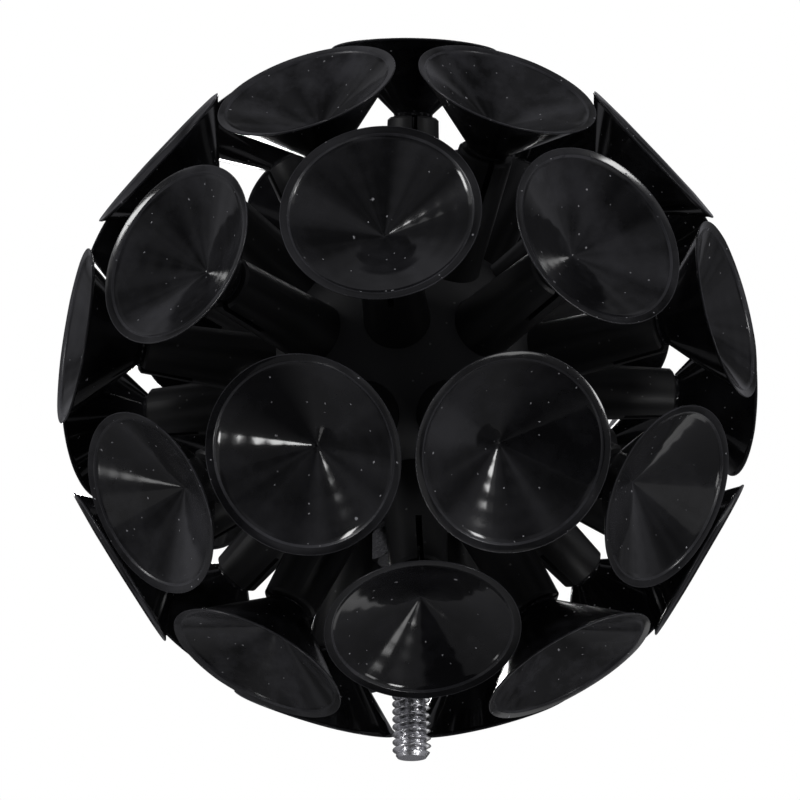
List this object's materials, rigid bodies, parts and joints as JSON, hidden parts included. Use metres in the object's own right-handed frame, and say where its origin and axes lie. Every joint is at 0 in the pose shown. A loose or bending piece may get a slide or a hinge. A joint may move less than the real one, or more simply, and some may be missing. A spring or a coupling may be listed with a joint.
{
  "type": "suction cup ball",
  "caption": "Round ball of black suction cups on short split posts around a grey core, held by a threaded steel stud, for gripping and turning screwed case backs.",
  "frame": {"origin": "on the stud axis, at the lower face of the lock nut, where the stud's free thread begins", "axes": "+Z from the stud up through the ball; -Y towards the side the picture shows; +X to that view's right"},
  "size_m": [0.1236, 0.1234, 0.1272],
  "materials": {
    "cup_vinyl": "glossy soft vinyl",
    "post_plastic": "moulded, satin gloss",
    "core_plastic": "moulded, matt",
    "zinc_steel": "bright zinc plate",
    "spring_steel": "plain",
    "dowel_steel": "ground"
  },
  "bodies": {
    "ball_frame": {"core_upper": "core_plastic", "core_lower": "core_plastic", "crown_plug": "core_plastic", "crown_ring_posts": "post_plastic", "upper_ring_posts": "post_plastic", "middle_ring_posts": "post_plastic", "lower_ring_posts": "post_plastic", "bottom_ring_posts": "post_plastic", "locating_dowels": "dowel_steel", "stud_bolt": "zinc_steel"},
    "spring_washer": {"spring_washer": "spring_steel"},
    "lock_nut": {"lock_nut": "zinc_steel"},
    "crown_cup_1": {"crown_cup_1": "cup_vinyl"},
    "crown_cup_2": {"crown_cup_2": "cup_vinyl"},
    "crown_cup_3": {"crown_cup_3": "cup_vinyl"},
    "crown_cup_4": {"crown_cup_4": "cup_vinyl"},
    "crown_cup_5": {"crown_cup_5": "cup_vinyl"},
    "upper_cup_1": {"upper_cup_1": "cup_vinyl"},
    "upper_cup_2": {"upper_cup_2": "cup_vinyl"},
    "upper_cup_3": {"upper_cup_3": "cup_vinyl"},
    "upper_cup_4": {"upper_cup_4": "cup_vinyl"},
    "upper_cup_5": {"upper_cup_5": "cup_vinyl"},
    "upper_cup_6": {"upper_cup_6": "cup_vinyl"},
    "upper_cup_7": {"upper_cup_7": "cup_vinyl"},
    "upper_cup_8": {"upper_cup_8": "cup_vinyl"},
    "upper_cup_9": {"upper_cup_9": "cup_vinyl"},
    "upper_cup_10": {"upper_cup_10": "cup_vinyl"},
    "middle_cup_1": {"middle_cup_1": "cup_vinyl"},
    "middle_cup_2": {"middle_cup_2": "cup_vinyl"},
    "middle_cup_3": {"middle_cup_3": "cup_vinyl"},
    "middle_cup_4": {"middle_cup_4": "cup_vinyl"},
    "middle_cup_5": {"middle_cup_5": "cup_vinyl"},
    "middle_cup_6": {"middle_cup_6": "cup_vinyl"},
    "middle_cup_7": {"middle_cup_7": "cup_vinyl"},
    "middle_cup_8": {"middle_cup_8": "cup_vinyl"},
    "middle_cup_9": {"middle_cup_9": "cup_vinyl"},
    "middle_cup_10": {"middle_cup_10": "cup_vinyl"},
    "middle_cup_11": {"middle_cup_11": "cup_vinyl"},
    "lower_cup_1": {"lower_cup_1": "cup_vinyl"},
    "lower_cup_2": {"lower_cup_2": "cup_vinyl"},
    "lower_cup_3": {"lower_cup_3": "cup_vinyl"},
    "lower_cup_4": {"lower_cup_4": "cup_vinyl"},
    "lower_cup_5": {"lower_cup_5": "cup_vinyl"},
    "lower_cup_6": {"lower_cup_6": "cup_vinyl"},
    "lower_cup_7": {"lower_cup_7": "cup_vinyl"},
    "lower_cup_8": {"lower_cup_8": "cup_vinyl"},
    "lower_cup_9": {"lower_cup_9": "cup_vinyl"},
    "lower_cup_10": {"lower_cup_10": "cup_vinyl"},
    "bottom_cup_1": {"bottom_cup_1": "cup_vinyl"},
    "bottom_cup_2": {"bottom_cup_2": "cup_vinyl"},
    "bottom_cup_3": {"bottom_cup_3": "cup_vinyl"},
    "bottom_cup_4": {"bottom_cup_4": "cup_vinyl"},
    "bottom_cup_5": {"bottom_cup_5": "cup_vinyl"}
  },
  "joints": [
    {"name": "nut_travel", "type": "slide", "parent": "ball_frame", "child": "spring_washer", "axis": [0, 0, -1], "range_m": [0, 0.02794]},
    {"name": "nut_turn", "type": "hinge", "parent": "spring_washer", "child": "lock_nut", "pos_m": [0, 0, 0], "axis": [0, 0, -1], "range_deg": [0, 7920.5]},
    {"name": "crown_cup_1_swivel", "type": "hinge", "parent": "ball_frame", "child": "crown_cup_1", "pos_m": [0.00163, -0.02331, 0.0757], "axis": [0.0336, -0.4806, 0.8763], "continuous": true},
    {"name": "crown_cup_2_swivel", "type": "hinge", "parent": "ball_frame", "child": "crown_cup_2", "pos_m": [0.02267, -0.00565, 0.0757], "axis": [0.4674, -0.1165, 0.8763], "continuous": true},
    {"name": "crown_cup_3_swivel", "type": "hinge", "parent": "ball_frame", "child": "crown_cup_3", "pos_m": [0.01238, 0.01981, 0.0757], "axis": [0.2553, 0.4086, 0.8763], "continuous": true},
    {"name": "crown_cup_4_swivel", "type": "hinge", "parent": "ball_frame", "child": "crown_cup_4", "pos_m": [-0.01502, 0.0179, 0.0757], "axis": [-0.3097, 0.369, 0.8763], "continuous": true},
    {"name": "crown_cup_5_swivel", "type": "hinge", "parent": "ball_frame", "child": "crown_cup_5", "pos_m": [-0.02166, -0.00875, 0.0757], "axis": [-0.4467, -0.1805, 0.8763], "continuous": true},
    {"name": "upper_cup_1_swivel", "type": "hinge", "parent": "ball_frame", "child": "upper_cup_1", "pos_m": [0.0135, -0.04013, 0.05686], "axis": [0.2784, -0.8273, 0.4879], "continuous": true},
    {"name": "upper_cup_2_swivel", "type": "hinge", "parent": "ball_frame", "child": "upper_cup_2", "pos_m": [0.03451, -0.02453, 0.05686], "axis": [0.7115, -0.5057, 0.4879], "continuous": true},
    {"name": "upper_cup_3_swivel", "type": "hinge", "parent": "ball_frame", "child": "upper_cup_3", "pos_m": [0.04233, 0.00044, 0.05686], "axis": [0.8729, 0.0091, 0.4879], "continuous": true},
    {"name": "upper_cup_4_swivel", "type": "hinge", "parent": "ball_frame", "child": "upper_cup_4", "pos_m": [0.03399, 0.02524, 0.05686], "axis": [0.7008, 0.5205, 0.4879], "continuous": true},
    {"name": "upper_cup_5_swivel", "type": "hinge", "parent": "ball_frame", "child": "upper_cup_5", "pos_m": [0.01266, 0.0404, 0.05686], "axis": [0.261, 0.833, 0.4879], "continuous": true},
    {"name": "upper_cup_6_swivel", "type": "hinge", "parent": "ball_frame", "child": "upper_cup_6", "pos_m": [-0.0135, 0.04013, 0.05686], "axis": [-0.2784, 0.8273, 0.4879], "continuous": true},
    {"name": "upper_cup_7_swivel", "type": "hinge", "parent": "ball_frame", "child": "upper_cup_7", "pos_m": [-0.03451, 0.02453, 0.05686], "axis": [-0.7115, 0.5057, 0.4879], "continuous": true},
    {"name": "upper_cup_8_swivel", "type": "hinge", "parent": "ball_frame", "child": "upper_cup_8", "pos_m": [-0.04233, -0.00044, 0.05686], "axis": [-0.8729, -0.0091, 0.4879], "continuous": true},
    {"name": "upper_cup_9_swivel", "type": "hinge", "parent": "ball_frame", "child": "upper_cup_9", "pos_m": [-0.03399, -0.02524, 0.05686], "axis": [-0.7008, -0.5205, 0.4879], "continuous": true},
    {"name": "upper_cup_10_swivel", "type": "hinge", "parent": "ball_frame", "child": "upper_cup_10", "pos_m": [-0.01266, -0.0404, 0.05686], "axis": [-0.261, -0.833, 0.4879], "continuous": true},
    {"name": "middle_cup_1_swivel", "type": "hinge", "parent": "ball_frame", "child": "middle_cup_1", "pos_m": [-0.00296, -0.04841, 0.03329], "axis": [-0.061, -0.9981, 0.0017], "continuous": true},
    {"name": "middle_cup_2_swivel", "type": "hinge", "parent": "ball_frame", "child": "middle_cup_2", "pos_m": [0.02368, -0.04233, 0.03329], "axis": [0.4883, -0.8727, 0.0017], "continuous": true},
    {"name": "middle_cup_3_swivel", "type": "hinge", "parent": "ball_frame", "child": "middle_cup_3", "pos_m": [0.04281, -0.0228, 0.03329], "axis": [0.8826, -0.4702, 0.0017], "continuous": true},
    {"name": "middle_cup_4_swivel", "type": "hinge", "parent": "ball_frame", "child": "middle_cup_4", "pos_m": [0.04834, 0.00396, 0.03329], "axis": [0.9967, 0.0816, 0.0017], "continuous": true},
    {"name": "middle_cup_5_swivel", "type": "hinge", "parent": "ball_frame", "child": "middle_cup_5", "pos_m": [0.03852, 0.02946, 0.03329], "axis": [0.7943, 0.6075, 0.0017], "continuous": true},
    {"name": "middle_cup_6_swivel", "type": "hinge", "parent": "ball_frame", "child": "middle_cup_6", "pos_m": [0.01648, 0.04561, 0.03329], "axis": [0.3398, 0.9405, 0.0017], "continuous": true},
    {"name": "middle_cup_7_swivel", "type": "hinge", "parent": "ball_frame", "child": "middle_cup_7", "pos_m": [-0.0108, 0.04728, 0.03329], "axis": [-0.2226, 0.9749, 0.0017], "continuous": true},
    {"name": "middle_cup_8_swivel", "type": "hinge", "parent": "ball_frame", "child": "middle_cup_8", "pos_m": [-0.03465, 0.03394, 0.03329], "axis": [-0.7144, 0.6998, 0.0017], "continuous": true},
    {"name": "middle_cup_9_swivel", "type": "hinge", "parent": "ball_frame", "child": "middle_cup_9", "pos_m": [-0.0475, 0.00982, 0.03329], "axis": [-0.9793, 0.2025, 0.0017], "continuous": true},
    {"name": "middle_cup_10_swivel", "type": "hinge", "parent": "ball_frame", "child": "middle_cup_10", "pos_m": [-0.04526, -0.01742, 0.03329], "axis": [-0.9333, -0.3591, 0.0017], "continuous": true},
    {"name": "middle_cup_11_swivel", "type": "hinge", "parent": "ball_frame", "child": "middle_cup_11", "pos_m": [-0.02866, -0.03912, 0.03329], "axis": [-0.591, -0.8067, 0.0017], "continuous": true},
    {"name": "lower_cup_1_swivel", "type": "hinge", "parent": "ball_frame", "child": "lower_cup_1", "pos_m": [0.01244, -0.03828, 0.00615], "axis": [0.2565, -0.7894, -0.5577], "continuous": true},
    {"name": "lower_cup_2_swivel", "type": "hinge", "parent": "ball_frame", "child": "lower_cup_2", "pos_m": [0.03257, -0.02366, 0.00615], "axis": [0.6715, -0.4879, -0.5577], "continuous": true},
    {"name": "lower_cup_3_swivel", "type": "hinge", "parent": "ball_frame", "child": "lower_cup_3", "pos_m": [0.04026, 0, 0.00615], "axis": [0.83, 0, -0.5577], "continuous": true},
    {"name": "lower_cup_4_swivel", "type": "hinge", "parent": "ball_frame", "child": "lower_cup_4", "pos_m": [0.03257, 0.02366, 0.00615], "axis": [0.6715, 0.4879, -0.5577], "continuous": true},
    {"name": "lower_cup_5_swivel", "type": "hinge", "parent": "ball_frame", "child": "lower_cup_5", "pos_m": [0.01244, 0.03828, 0.00615], "axis": [0.2565, 0.7894, -0.5577], "continuous": true},
    {"name": "lower_cup_6_swivel", "type": "hinge", "parent": "ball_frame", "child": "lower_cup_6", "pos_m": [-0.01244, 0.03828, 0.00615], "axis": [-0.2565, 0.7894, -0.5577], "continuous": true},
    {"name": "lower_cup_7_swivel", "type": "hinge", "parent": "ball_frame", "child": "lower_cup_7", "pos_m": [-0.03257, 0.02366, 0.00615], "axis": [-0.6715, 0.4879, -0.5577], "continuous": true},
    {"name": "lower_cup_8_swivel", "type": "hinge", "parent": "ball_frame", "child": "lower_cup_8", "pos_m": [-0.04026, 0, 0.00615], "axis": [-0.83, 0, -0.5577], "continuous": true},
    {"name": "lower_cup_9_swivel", "type": "hinge", "parent": "ball_frame", "child": "lower_cup_9", "pos_m": [-0.03257, -0.02366, 0.00615], "axis": [-0.6715, -0.4879, -0.5577], "continuous": true},
    {"name": "lower_cup_10_swivel", "type": "hinge", "parent": "ball_frame", "child": "lower_cup_10", "pos_m": [-0.01244, -0.03828, 0.00615], "axis": [-0.2565, -0.7894, -0.5577], "continuous": true},
    {"name": "bottom_cup_1_swivel", "type": "hinge", "parent": "ball_frame", "child": "bottom_cup_1", "pos_m": [0.0015, -0.02151, -0.01024], "axis": [0.031, -0.4436, -0.8957], "continuous": true},
    {"name": "bottom_cup_2_swivel", "type": "hinge", "parent": "ball_frame", "child": "bottom_cup_2", "pos_m": [0.02092, -0.00522, -0.01024], "axis": [0.4314, -0.1076, -0.8957], "continuous": true},
    {"name": "bottom_cup_3_swivel", "type": "hinge", "parent": "ball_frame", "child": "bottom_cup_3", "pos_m": [0.01143, 0.01829, -0.01024], "axis": [0.2356, 0.3771, -0.8957], "continuous": true},
    {"name": "bottom_cup_4_swivel", "type": "hinge", "parent": "ball_frame", "child": "bottom_cup_4", "pos_m": [-0.01386, 0.01652, -0.01024], "axis": [-0.2858, 0.3406, -0.8957], "continuous": true},
    {"name": "bottom_cup_5_swivel", "type": "hinge", "parent": "ball_frame", "child": "bottom_cup_5", "pos_m": [-0.01999, -0.00808, -0.01024], "axis": [-0.4123, -0.1666, -0.8957], "continuous": true}
  ],
  "couplings": [
    {"joint": "nut_turn", "follows": "nut_travel", "rad_per_m": 4947.4}
  ]
}
